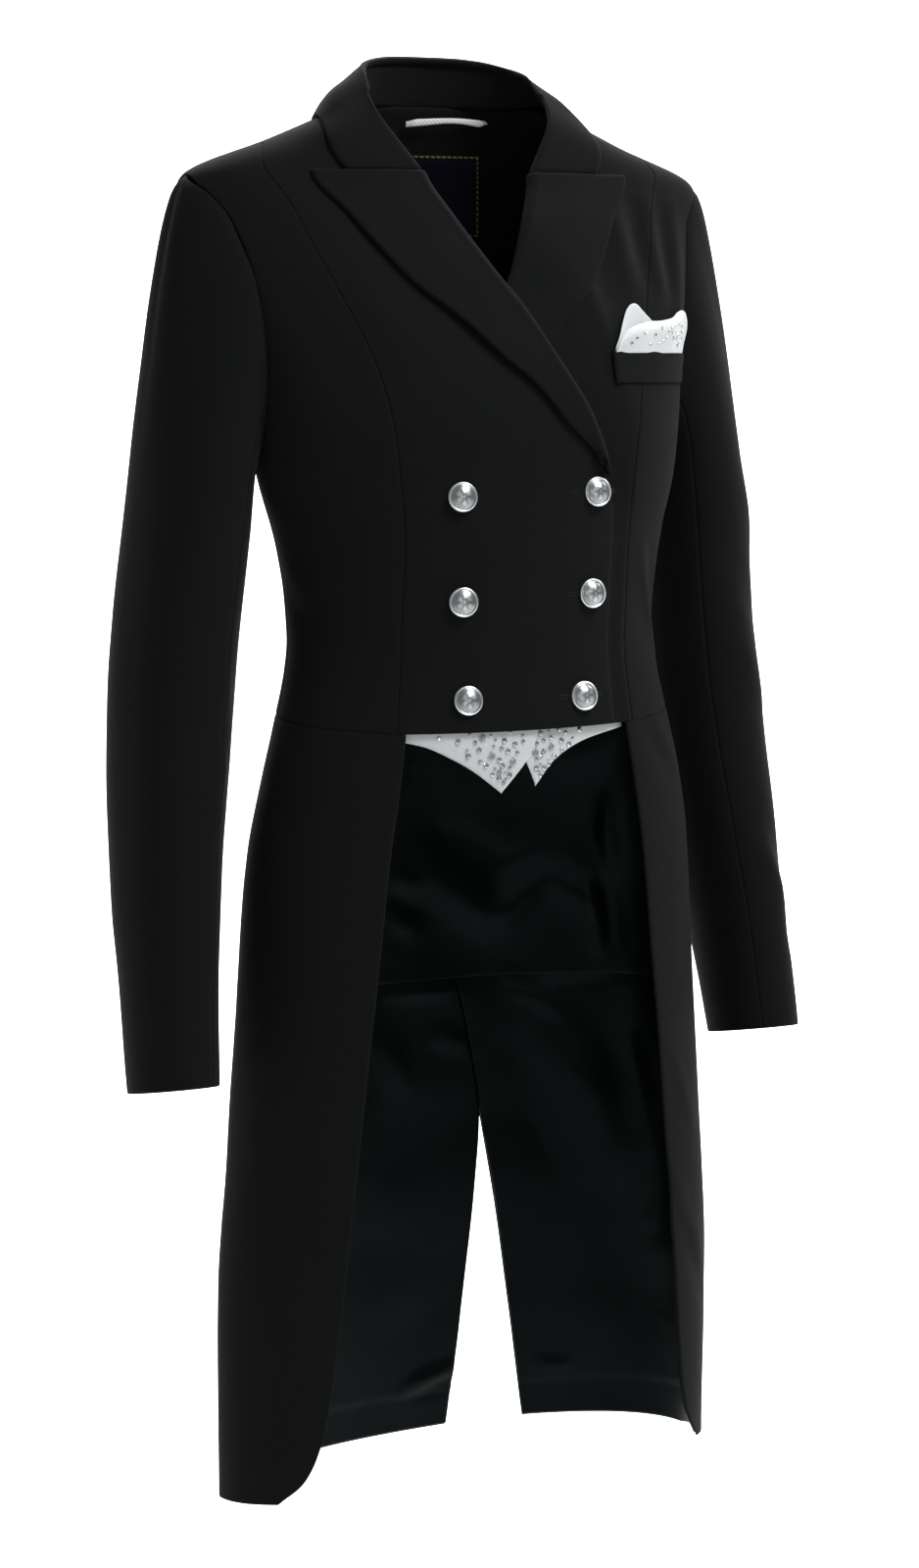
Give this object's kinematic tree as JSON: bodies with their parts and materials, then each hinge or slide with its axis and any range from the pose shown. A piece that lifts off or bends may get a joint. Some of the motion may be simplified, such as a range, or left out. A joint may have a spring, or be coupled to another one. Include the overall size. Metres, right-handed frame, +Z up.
{
  "type": "dressage tailcoat",
  "caption": "Double-breasted ladies' dressage tailcoat in its worn shape, waist-length in front with long split tails behind, peaked lapels, false waistcoat points and hollow sleeves",
  "frame": {"origin": "on the middle plane, level with the points where the shoulder seams meet the neck, where the wearer's shoulders carry the coat", "axes": "+Z up, the front faces -Y, the wearer's left is +X"},
  "size_m": [0.5126, 0.2127, 0.9849],
  "materials": {
    "cloth": "matt wool-like twill, nearly black",
    "lining": "glossy black satin with a faint blue-green tinge",
    "white_satin": "white satin set with small crystals",
    "buttons": "polished silver-coloured metal",
    "label": "navy woven patch with a gold stitched border",
    "loop": "white woven tape"
  },
  "bodies": {
    "root": {"front_right": "cloth", "front_left": "cloth", "side_right": "cloth", "side_left": "cloth", "back_right": "cloth", "back_left": "cloth", "tail_right": "cloth", "tail_left": "cloth", "upper_sleeve_right": "cloth", "upper_sleeve_left": "cloth", "under_sleeve_right": "cloth", "under_sleeve_left": "cloth", "collar": "cloth", "lapel_right": "cloth", "lapel_left": "cloth", "pocket_welt": "cloth", "lining_back": "lining", "lining_skirt": "lining", "lining_tail_right": "lining", "lining_tail_left": "lining", "pocket_square_back": "white_satin", "pocket_square_front": "white_satin", "vest_point_right": "white_satin", "vest_point_left": "white_satin", "button_1": "buttons", "button_2": "buttons", "button_3": "buttons", "button_4": "buttons", "button_5": "buttons", "button_6": "buttons", "neck_label": "label", "hanging_loop": "loop"}
  },
  "joints": []
}
